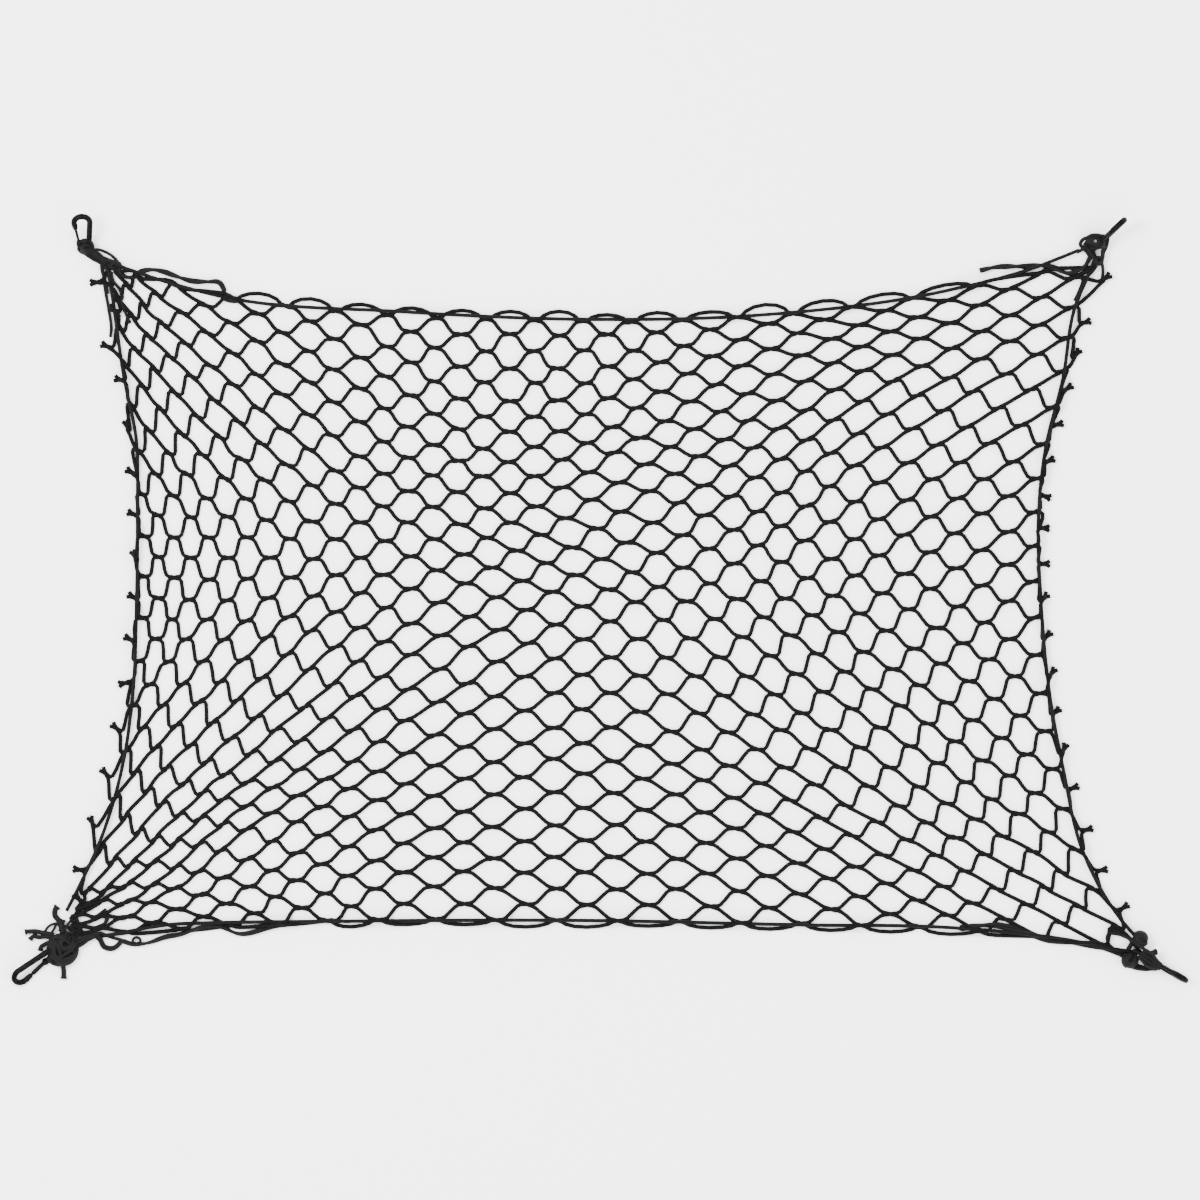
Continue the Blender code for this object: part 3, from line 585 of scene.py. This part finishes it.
# Places are mm to the right of, above and up from each corner's origin. A strand is its
# radius, how many lie side by side, how wide they spread at the start, middle and end, how
# many turns they twist, and its route. A knot is its middle, its half sizes, its wraps, how
# far the wraps lean (degrees) and turn on (degrees), its heading (degrees) and cord radius.
# A tail is its radius and its route out to its cut end. A core is its middle and half sizes.
CORNER_TIES = {
    "top_left": {
        "origin": (-577.5, 398.5),
        "strands": (
            (1.8, 4, (6, 7, 5), 0.1, ((-19, 6, 11), (-10, 0, 10), (-2, -5, 8), (6, -10, 6))),
            (1.8, 3, (4, 5, 4), 0.15, ((-15, 11, 13), (-8, 4, 12), (0, -2, 9), (8, -9, 7))),
            (1.9, 1, (0, 0, 0), 0, ((-10, 4, 12), (-4, 6, 10), (5, 4, 8), (15, -2, 6), (23, -11, 6))),
            (1.9, 2, (2, 3, 3), 0.3, ((-3, -1, 8), (6, -5, 8), (15, -8, 7), (24, -13, 6))),
            (1.9, 2, (3, 2, 3), 0.6, ((0, -6, 7), (8, -10, 6), (18, -16, 5), (27, -22, 4))),
            (1.9, 1, (0, 0, 0), 0, ((2, -8, 6), (2, -16, 5), (5, -27, 4), (9, -45, 3))),
            (1.8, 2, (2, 3, 2), 0.4, ((4, -8, 6), (8, -15, 5), (13, -24, 4), (14, -36, 4))),
            (1.8, 1, (0, 0, 0), 0, (
                (-23, 4, 10), (-24, 13, 14), (-18, 17, 17), (-10, 15, 16), (-7, 6, 13),
            )),
            (1.9, 1, (0, 0, 0), 0, (
                (3, -12, 5), (6, -40, 3), (11, -68, 3), (13, -87, 3), (12, -95, 3),
            )),
            (1.9, 1, (0, 0, 0), 0, (
                (13, -19, 5), (15, -29, 5), (23, -40, 4), (26, -50, 4), (22, -54, 4), (16, -50, 4),
            )),
            (1.9, 1, (0, 0, 0), 0, ((24, -53, 4), (29, -66, 4), (35, -79, 3))),
            (2.1, 2, (2, 3, 2), 2.5, (
                (21, -15, 6), (29, -25, 5), (38, -26, 5), (48, -19, 4), (60, -17, 4), (72, -19, 4),
                (89, -25, 4), (106, -30, 4), (124, -31, 4), (138, -32, 4), (143, -40, 4),
                (143, -49, 5), (158, -53, 6),
            )),
        ),
        "knots": (
            ((-15, 8, 10), (8.5, 7.5, 8), 7, 66, 140, 30, 1.7),
            ((-13, 4, 9), (7, 7, 6), 4, 72, 60, -40, 1.7),
            ((17, -12, 6), (8, 5, 5), 5, 60, 150, -30, 1.6),
        ),
        "tails": (
            (1.9, ((-18, 7, 9), (-22, 7, 7), (-25, 6, 5))),
            (1.7, ((-12, 15, 17), (-11, 20, 19))),
        ),
        "cores": (((-14, 7, 9), (6, 5.5, 5.5)), ((17, -12, 5), (5, 3, 3))),
    },
    "top_right": {
        "origin": (577.5, 404.3),
        "strands": (
            (2.0, 1, (0, 0, 0), 0, (
                (-17, 12, 12), (-12, 16, 16), (-6, 17, 18), (1, 16, 18), (6, 15, 15), (8, 11, 12),
            )),
            (2.2, 1, (0, 0, 0), 0, (
                (-14, 14, 13), (-21, 11, 9), (-23, 6, 7), (-20, 2, 6), (-16, -2, 6), (-12, -8, 6),
            )),
            (1.9, 1, (0, 0, 0), 0, (
                (-11, 11, 13), (-16, 9, 10), (-18, 5, 8), (-14, 1, 8), (-9, -1, 9),
            )),
            (2.1, 2, (3, 4, 3), 0.3, ((7, 13, 14), (6, 5, 10), (3, -4, 8), (3, -9, 7), (0, -17, 6))),
            (2.1, 2, (3, 4, 3), 0.2, ((-14, 4, 10), (-10, -2, 8), (-7, -8, 7), (-5, -13, 6))),
            (1.9, 1, (0, 0, 0), 0, ((-12, 2, 14), (-5, 2, 14), (2, 3, 13), (7, 5, 11))),
            (1.9, 1, (0, 0, 0), 0, ((-10, -8, 7), (-4, -9, 9), (3, -8, 8))),
            (1.9, 1, (0, 0, 0), 0, ((-33, -25, 4), (-20, -22, 4), (-10, -21, 5), (-4, -17, 6))),
            (1.6, 1, (0, 0, 0), 0, ((-19, -33, 3), (-24, -46, 4), (-30, -59, 4))),
            (2.0, 1, (0, 0, 0), 0, ((-3, -15, 6), (-6, -21, 5), (-13, -29, 4), (-22, -36, 3))),
            (2.0, 1, (0, 0, 0), 0, ((2, -15, 5), (3, -21, 4), (3, -28, 3), (2, -34, 3))),
            (2.1, 1, (0, 0, 0), 0, ((-27, -3, 7), (-20, 1, 7), (-14, 6, 8), (-8, 10, 9))),
            (2.2, 2, (2, 3, 2), 2.5, (
                (-139, -24, 4), (-121, -20, 4), (-103, -19, 5), (-85, -19, 4), (-69, -18, 4),
                (-52, -21, 4), (-38, -27, 4), (-32, -27, 4), (-27, -23, 4), (-19, -20, 4),
                (-13, -11, 6), (-9, -4, 8),
            )),
        ),
        "knots": (
            ((-5, 10, 12), (10.5, 7, 9), 6, 60, 170, 35, 1.8),
            ((0, 9, 12), (7, 6, 8), 4, 76, 80, 60, 1.8),
            ((-3, -13, 7), (4.5, 5, 5), 6, 62, 150, 80, 1.8),
        ),
        "tails": (),
        "cores": (((-3, -13, 6), (3.5, 4, 4)), ((1, 11, 9), (4, 3, 5))),
    },
    "bottom_left": {
        "origin": (-628.3, -398.5),
        "strands": (
            (2.0, 4, (15, 9, 6), 0.1, ((12, 7, 8), (24, 8, 7), (38, 12, 6), (46, 12, 5))),
            (2.0, 3, (6, 7, 4), 0.1, ((12, -4, 8), (24, 1, 7), (36, 8, 6), (46, 12, 5))),
            (1.9, 2, (3, 3, 2), 0, ((44, 12, 6), (50, 8, 5), (56, -2, 4), (64, -4, 4), (77, 6, 4))),
            (1.9, 1, (0, 0, 0), 0, ((44, 12, 6), (52, 14, 5), (61, 10, 4), (77, 6, 4))),
            (1.9, 2, (3, 3, 3), 0.4, ((42, 13, 6), (48, 20, 4), (57, 26, 3), (60, 36, 3))),
            (1.6, 1, (0, 0, 0), 0, ((10, 17, 8), (16, 27, 5), (28, 36, 4), (44, 51, 3))),
            (1.6, 1, (0, 0, 0), 0, ((16, 14, 8), (28, 19, 6), (42, 30, 5), (58, 42, 3))),
            (1.7, 1, (0, 0, 0), 0, (
                (88.5, 3.5, 4), (89.5, 7.5, 5), (93, 9, 6), (97, 7.5, 6), (97.5, 4, 5), (93, 2, 4),
                (89, 3, 4),
            )),
            (2.1, 1, (0, 0, 0), 0, ((-9, -14, 8), (3, -14, 14), (15, -7, 15), (25, 4, 9))),
            (2.1, 1, (0, 0, 0), 0, ((-7, 5, 8), (4, 9, 14), (14, 4, 15), (21, -9, 10))),
            (2.1, 1, (0, 0, 0), 0, ((2, -22, 7), (6, -12, 15), (3, -1, 16), (-4, 8, 9))),
            (1.6, 1, (0, 0, 0), 0, ((-13, 15, 5), (-8, 22, 5), (0, 25, 6), (9, 23, 6), (18, 16, 6))),
            (1.6, 1, (0, 0, 0), 0, ((-5, 14, 8), (-2, 19, 6), (1, 25, 5))),
            (1.6, 1, (0, 0, 0), 0, ((4, 16, 8), (7, 21, 6), (13, 22, 5), (20, 17, 6))),
            (2.0, 2, (2, 3, 2), 2.0, (
                (77, 5, 4), (90, 1, 4), (108, 3, 4), (125, 9, 4), (146, 13, 4), (164, 19, 5),
                (184, 23, 4), (212, 13, 4), (247, 20, 4), (282, 26, 5),
            )),
        ),
        "knots": (
            ((8, -5, 7), (17.5, 19.5, 8), 16, 56, 175, 20, 2.0),
            ((4, -15, 6), (14, 8, 6), 7, 40, 120, -20, 2.0),
            ((11, 1, 9), (12, 12, 8), 8, 66, 160, 70, 2.0),
        ),
        "tails": (
            (2.8, ((-2, 12, 6), (-13, 14, 5), (-24, 16, 3), (-36, 15, 3))),
            (2.6, ((-2, 8, 6), (-11, 10, 5), (-20, 9, 3), (-26, 10, 3), (-30, 6, 3))),
            (2.3, ((-20, 9, 3), (-26, 12, 3))),
            (2.6, ((-4, 4, 6), (-13, 1, 5), (-17, -2, 4), (-18, -6, 3))),
            (3.4, ((8, 14, 7), (6, 22, 5), (3, 29, 4), (-1, 34, 4), (-1, 40, 4), (2, 45, 4))),
            (2.6, ((2, 30, 4), (10, 26, 3))),
            (3.1, ((8, -20, 5), (9, -30, 3), (9, -39, 3))),
        ),
        "cores": (((8, -5, 6.5), (15.5, 17.5, 6.5)), ((30, 8, 6), (14, 4, 3))),
    },
    "bottom_right": {
        "origin": (623.7, -410.0),
        "strands": (
            (2.2, 1, (0, 0, 0), 0, ((-14, 21, 8), (-6, 15, 15), (3, 8, 19), (12, 2, 19), (18, -6, 18))),
            (2.8, 1, (0, 0, 0), 0, ((-8, 18, 8), (-12, 10, 7), (-17, 2, 6))),
            (2.1, 4, (8, 14, 5), 0.05, ((0, 2, 16), (8, -4, 18), (15, -9, 19), (23, -13, 18))),
            (2.1, 3, (6, 9, 5), 0.05, ((1, -1, 13), (8, -6, 14), (15, -10, 13), (21, -13, 11))),
            (2.0, 3, (4, 5, 3), 0.3, ((-12, -11, 7), (-2, -14, 8), (10, -16, 8), (19, -16, 9))),
            (2.1, 2, (4, 3, 3), 0.3, ((-38, 28, 4), (-24, 25, 5), (-14, 20, 7), (-8, 16, 8))),
            (1.9, 1, (0, 0, 0), 0, (
                (-34, 27, 4), (-38, 22, 4), (-37, 14, 4), (-30, 7, 4), (-20, 1, 6),
            )),
            (2.2, 2, (3, 3, 3), 0.3, ((-42, 9, 4), (-32, 5, 5), (-22, 0, 6), (-14, -7, 7))),
            (2.3, 2, (3, 4, 3), 1.6, (
                (-208, 31, 4), (-162, 34, 5), (-138, 28, 5), (-115, 20, 4), (-92, 16, 4),
                (-69, 13, 4), (-42, 9, 5),
            )),
        ),
        "knots": (
            ((0, 19, 11), (8.6, 8.6, 8.6), 10, 66, 178, -30, 2.0),
            ((-12, -6, 10), (9.0, 8.6, 8), 10, 66, 178, 60, 2.0),
        ),
        "tails": (
            (3.0, ((8, 1, 14), (14, 3, 13), (18, 4, 11))),
            (2.0, ((1, 0, 12), (-4, 4, 10), (-8, 5, 8))),
        ),
        "cores": (
            ((0, 19, 10.5), (7.6, 7.6, 7.6)), ((-12, -6, 9), (8, 7.6, 7)), ((9, -5, 9), (7, 4, 5)),
        ),
    },
}


def bundle_runs(radius, plies, spreads, turns, route):
    """Strands side by side along a smooth route: each is set off from it by its share of the
    spread, in a direction across the route that twists the given number of turns."""
    length = np.linalg.norm(np.diff(np.array(route, float), axis=0), axis=1).sum() * MM
    count = max(int(length / TIE_STEP), 6)
    middle = smooth_route(route, count) * MM
    middle[:, 2] = np.maximum(middle[:, 2], radius * MM)
    side, normal = steady_frame(unit(np.gradient(middle, axis=0)))
    t = np.linspace(0.0, 1.0, count)
    spread = np.interp(t, (0.0, 0.5, 1.0), spreads) * MM
    angle = 2 * np.pi * turns * t + np.arctan2(normal[0, 2], side[0, 2]) - np.pi / 2
    lay = np.cos(angle)[:, None] * side + np.sin(angle)[:, None] * normal
    shares = (np.arange(plies) - (plies - 1) / 2) / max(plies - 1, 1)
    return [
        cord_rings(middle + share * spread[:, None] * lay, radius * MM, TIE_SIDES)
        for share in shares
    ]


def knot_run(centre, half_sizes, wraps, lean, turning, heading, radius):
    """A cord wound on an ellipsoid: circles leaned over from level whose lean turns on
    steadily about the upright, and that grow a little from the first to the last."""
    t = np.linspace(0.0, 1.0, int(wraps * 22))
    around = 2 * np.pi * wraps * t
    slow = np.radians(heading + turning * t)
    x, y = np.cos(around), np.sin(around) * np.cos(np.radians(lean))
    turned = np.stack((
        x * np.cos(slow) - y * np.sin(slow), x * np.sin(slow) + y * np.cos(slow),
        np.sin(around) * np.sin(np.radians(lean)),
    ), axis=1)
    points = np.array(centre) + turned * np.array(half_sizes) * (0.84 + 0.16 * t)[:, None]
    points[:, 2] = np.maximum(points[:, 2], radius)
    return cord_rings(points * MM, radius * MM, TIE_SIDES)


def tail_run(radius, route):
    """A cut end: a cord whose last 3 mm swell by a third where its yarns have spread."""
    length = np.linalg.norm(np.diff(np.array(route, float), axis=0), axis=1).sum()
    points = smooth_route(route, max(int(length / 0.9), 6)) * MM
    points[:, 2] = np.maximum(points[:, 2], radius * MM)
    before_end = np.linspace(length, 0.0, len(points))
    swell = 1 + 0.35 * np.exp(-((before_end / 2.2) ** 2))
    return cord_rings(points, radius * MM * swell, TIE_SIDES)


def core_run(centre, half_sizes):
    """An ellipsoid as level rings from its foot to its top."""
    angle = np.linspace(-0.47 * np.pi, 0.47 * np.pi, 9)
    around = np.arange(TIE_SIDES) * 2 * np.pi / TIE_SIDES
    x = np.cos(angle)[:, None] * np.cos(around)
    y = -np.cos(angle)[:, None] * np.sin(around)
    z = np.broadcast_to(np.sin(angle)[:, None], x.shape)
    return (np.array(centre) + np.stack((x, y, z), axis=2) * np.array(half_sizes)) * MM


for corner, tie in CORNER_TIES.items():
    runs = [run for strand in tie["strands"] for run in bundle_runs(*strand)]
    runs += [knot_run(*knot) for knot in tie["knots"]]
    runs += [tail_run(*tail) for tail in tie["tails"]]
    runs += [core_run(*core) for core in tie["cores"]]
    origin = np.array((*tie["origin"], 0.0)) * MM
    runs = [run + origin for run in runs]
    knotted = joined_runs(f"corner_tie_{corner}_knotted", runs)
    knotted.data.materials.append(tie_cover)
    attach(knotted, "root")
    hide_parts(f"corner_tie_{corner}")


# --- Hooks and gates ---------------------------------------------------------------------
# Pear-shaped snap hooks of bent bar with a thin sprung gate, in a dark satin finish that is
# smoother than the cords.
def satin_metal(name, colour, worn, roughness):
    """A dark plated finish: fine noise mixes a lighter worn colour into the base colour and
    changes the roughness, and a finer one gives a faint grain."""
    material = bpy.data.materials.new(name)
    material.use_nodes = True
    nodes, links = material.node_tree.nodes, material.node_tree.links
    shader = nodes["Principled BSDF"]
    shader.inputs["Metallic"].default_value = 0.0
    shader.inputs["Specular IOR Level"].default_value = 0.03
    where = nodes.new("ShaderNodeTexCoord")
    wear = nodes.new("ShaderNodeTexNoise")
    wear.inputs["Scale"].default_value = 260.0
    wear.inputs["Detail"].default_value = 4.0
    links.new(where.outputs["Object"], wear.inputs["Vector"])
    tint = nodes.new("ShaderNodeValToRGB")
    tint.color_ramp.elements[0].position = 0.42
    tint.color_ramp.elements[0].color = (*colour, 1.0)
    tint.color_ramp.elements[1].position = 0.75
    tint.color_ramp.elements[1].color = (*worn, 1.0)
    links.new(wear.outputs["Fac"], tint.inputs[0])
    links.new(tint.outputs[0], shader.inputs["Base Color"])
    rough = nodes.new("ShaderNodeMapRange")
    rough.inputs["To Min"].default_value = roughness - 0.08
    rough.inputs["To Max"].default_value = roughness + 0.12
    links.new(wear.outputs["Fac"], rough.inputs["Value"])
    links.new(rough.outputs[0], shader.inputs["Roughness"])
    grain = nodes.new("ShaderNodeTexNoise")
    grain.inputs["Scale"].default_value = 1400.0
    links.new(where.outputs["Object"], grain.inputs["Vector"])
    bump = nodes.new("ShaderNodeBump")
    bump.inputs["Strength"].default_value = 0.25
    bump.inputs["Distance"].default_value = 0.05 * MM
    links.new(grain.outputs["Fac"], bump.inputs["Height"])
    links.new(bump.outputs["Normal"], shader.inputs["Normal"])
    return material


hook_finish = satin_metal("hook_satin", (0.0008, 0.0008, 0.0009), (0.005, 0.005, 0.0053), 0.38)
gate_finish = satin_metal("gate_satin", (0.0008, 0.0008, 0.0009), (0.006, 0.006, 0.0064), 0.34)
HOOK_LENGTH, HOOK_WIDTH = 60.0 * MM, 23.0 * MM
HOOK_BAR = 4.8 * MM  # bar that the outline is set out with
HOOK_NARROW = 4.6 * MM  # middle-line radius of the narrow end
HOOK_RADIUS = 3.5 * MM  # radius of the coated bar
GATE_START, GATE_END = 17.0 * MM, 38.0 * MM  # the gate's hinge and tip, above the narrow end
HUB_RADIUS, HUB_HALF = 2.4 * MM, 1.3 * MM  # the gate's hub: its radius and half its width
CHEEK_OUT, CHEEK_LIP = 2.7 * MM, 1.1 * MM  # the cheeks' outer face, and their rim past the hub
HINGE_GAP, TIP_GAP = 0.3 * MM, 0.4 * MM
NOSE = 5.0 * MM  # straight part of the nose above the gate's tip
BAR_STEP = 0.8 * MM
BAR_SIDES = 16
# Far end of the wide end in plan (mm), the way the hook points from +X, its roll about its
# length, the lift of its wide end (degrees), and its gate's radius (mm)
HOOKS = {
    "top_left": {
        "tip": (-597.5, 443.25), "heading": 94.0, "roll": 0.0, "lift": 44.0, "gate": 1.6,
    },
    "top_right": {
        "tip": (604.0, 438.0), "heading": 43.7, "roll": 88.0, "lift": 38.0, "gate": 1.6,
    },
    "bottom_left": {
        "tip": (-676.8, -441.0), "heading": 218.3, "roll": -42.0, "lift": 0.0, "gate": 2.5,
    },
    "bottom_right": {
        "tip": (678.0, -440.0), "heading": -30.0, "roll": 86.0, "lift": 6.2, "gate": 1.6,
    },
}
wide = (HOOK_WIDTH - HOOK_BAR) / 2
wide_y = HOOK_LENGTH - HOOK_BAR / 2 - wide
narrow_y = HOOK_BAR / 2 + HOOK_NARROW
lean = np.arcsin((wide - HOOK_NARROW) / (wide_y - narrow_y))


def gate_side(y):
    """The straight side that the gate closes: a line touching the wide and narrow arcs."""
    y = np.asarray(y, float)
    x = -wide * np.cos(lean) + (wide_y - wide * np.sin(lean) - y) * np.tan(lean)
    return np.stack((x, y, 0 * y), axis=-1)


def hook_outline():
    """The hook's middle line, flat and along +Y: its nose, the wide arc, the straight spine,
    the narrow arc, and the stop below the gate's hinge."""
    top = np.linspace(np.pi + lean, -lean, 60)
    bottom = np.linspace(-lean, -np.pi + lean, 40)
    turn = np.concatenate((top, bottom))
    radius = np.repeat((wide, HOOK_NARROW), (len(top), len(bottom)))
    middle = np.repeat((wide_y, narrow_y), (len(top), len(bottom)))
    arcs = np.stack((radius * np.cos(turn), middle + radius * np.sin(turn), 0 * turn), axis=1)
    nose = gate_side(np.linspace(GATE_END, GATE_END + NOSE, 4))
    return np.concatenate((nose, arcs, gate_side([GATE_START - HUB_RADIUS - HINGE_GAP])))


def even_run(points, step):
    """The same broken line with evenly spaced points, and the distance along it at each."""
    lengths = np.linalg.norm(np.diff(points, axis=0), axis=1)
    travelled = np.concatenate(((0.0,), np.cumsum(lengths)))
    at = np.linspace(0.0, travelled[-1], int(travelled[-1] / step) + 2)
    return np.stack([np.interp(at, travelled, points[:, k]) for k in range(3)], axis=1), at


def hook_turn(lie):
    """Rotation of a hook: rolled about its length, lifted at its wide end, then headed."""
    heading, lift, roll = np.radians((lie["heading"] - 90.0, lie["lift"], lie["roll"]))
    turn = Matrix.Rotation(heading, 3, "Z") @ Matrix.Rotation(lift, 3, "X")
    return np.array(turn @ Matrix.Rotation(roll, 3, "Y"))


for corner, lie in HOOKS.items():
    turn = hook_turn(lie)
    outline = hook_outline()
    lowest = (outline @ turn.T)[:, 2].min() - HOOK_BAR / 2
    far = turn @ np.array((0.0, HOOK_LENGTH, 0.0))
    shift = np.array((*lie["tip"], 0.0)) * MM - np.array((far[0], far[1], lowest))
    middle_line, at = even_run(outline, BAR_STEP)
    # The nose swells behind its blunt end, and the bar thins towards the hinge
    taper = np.interp(at / at[-1], (0, 0.02, 0.07, 0.2, 0.9, 1), (0.55, 0.85, 1.0, 1, 1, 0.8))
    runs = [cord_rings(middle_line, HOOK_RADIUS * taper, BAR_SIDES)]
    hinge = gate_side(GATE_START)
    for side in (-1, 1):
        cheek = np.linspace(HUB_HALF + HINGE_GAP, CHEEK_OUT, 4) * side
        dished = (HUB_RADIUS + CHEEK_LIP) * np.array((0.9, 1.0, 1.0, 0.86))
        runs.append(cord_rings(hinge + cheek[:, None] * (0, 0, 1), dished, BAR_SIDES))
    body = joined_runs(f"hook_{corner}_coated", [run @ turn.T + shift for run in runs])
    body.data.materials.append(hook_finish)
    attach(body, "root")
    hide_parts(f"hook_{corner}")

    tip = gate_side(GATE_END - TIP_GAP)
    rod, along_rod = even_run(np.stack((hinge, tip)), BAR_STEP)
    slim = np.interp(along_rod / along_rod[-1], (0, 0.15, 0.9, 1), (1.3, 1, 1.1, 0.8))
    slim *= lie["gate"] * MM
    hub = np.linspace(-HUB_HALF, HUB_HALF, 4)
    rounded = HUB_RADIUS * np.array((0.9, 1, 1, 0.9))
    runs = [
        cord_rings(rod, slim, BAR_SIDES),
        cord_rings(hinge + hub[:, None] * (0, 0, 1), rounded, BAR_SIDES),
    ]
    gate = joined_runs(f"gate_{corner}_coated", [run @ turn.T + shift for run in runs])
    gate.data.materials.append(gate_finish)
    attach(gate, f"gate_{corner}")
    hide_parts(f"gate_{corner}")


# --- Floor, light and camera -------------------------------------------------------------
# A plain pale surface under a broad soft light, seen straight from above with a long lens.
VIEW_WIDTH = 1.386
CAMERA_HEIGHT = 14.0
SKY_STRENGTH = 3.7
floor_mesh = bpy.data.meshes.new("floor")
floor_mesh.from_pydata([(-4, -4, 0), (4, -4, 0), (4, 4, 0), (-4, 4, 0)], [], [(0, 1, 2, 3)])
floor = bpy.data.objects.new("floor", floor_mesh)
bpy.context.scene.collection.objects.link(floor)
floor_paint = bpy.data.materials.new("pale_floor")
floor_paint.use_nodes = True
paint = floor_paint.node_tree.nodes["Principled BSDF"]
paint.inputs["Base Color"].default_value = (0.9, 0.9, 0.9, 1)
paint.inputs["Roughness"].default_value = 0.9
floor_mesh.materials.append(floor_paint)

for light_name, place, size, power in (
    ("key_light", (-1.7, 0.7, 3.2), 1.2, 230.0), ("fill_light", (2.0, -1.5, 3.0), 3.5, 155.0),
):
    light = bpy.data.lights.new(light_name, "AREA")
    light.energy = power
    light.size = size
    lamp = bpy.data.objects.new(light_name, light)
    lamp.location = place
    lamp.rotation_euler = (-Vector(place)).to_track_quat("-Z", "Y").to_euler()
    bpy.context.scene.collection.objects.link(lamp)
world = bpy.data.worlds.new("studio")
world.use_nodes = True
world.node_tree.nodes["Background"].inputs["Color"].default_value = (1, 1, 1, 1)
world.node_tree.nodes["Background"].inputs["Strength"].default_value = SKY_STRENGTH
bpy.context.scene.world = world

camera_data = bpy.data.cameras.new("camera")
camera_data.lens = camera_data.sensor_width * CAMERA_HEIGHT / VIEW_WIDTH
camera = bpy.data.objects.new("camera", camera_data)
camera.location = (0.0, 0.0, CAMERA_HEIGHT)
bpy.context.scene.collection.objects.link(camera)
bpy.context.scene.camera = camera
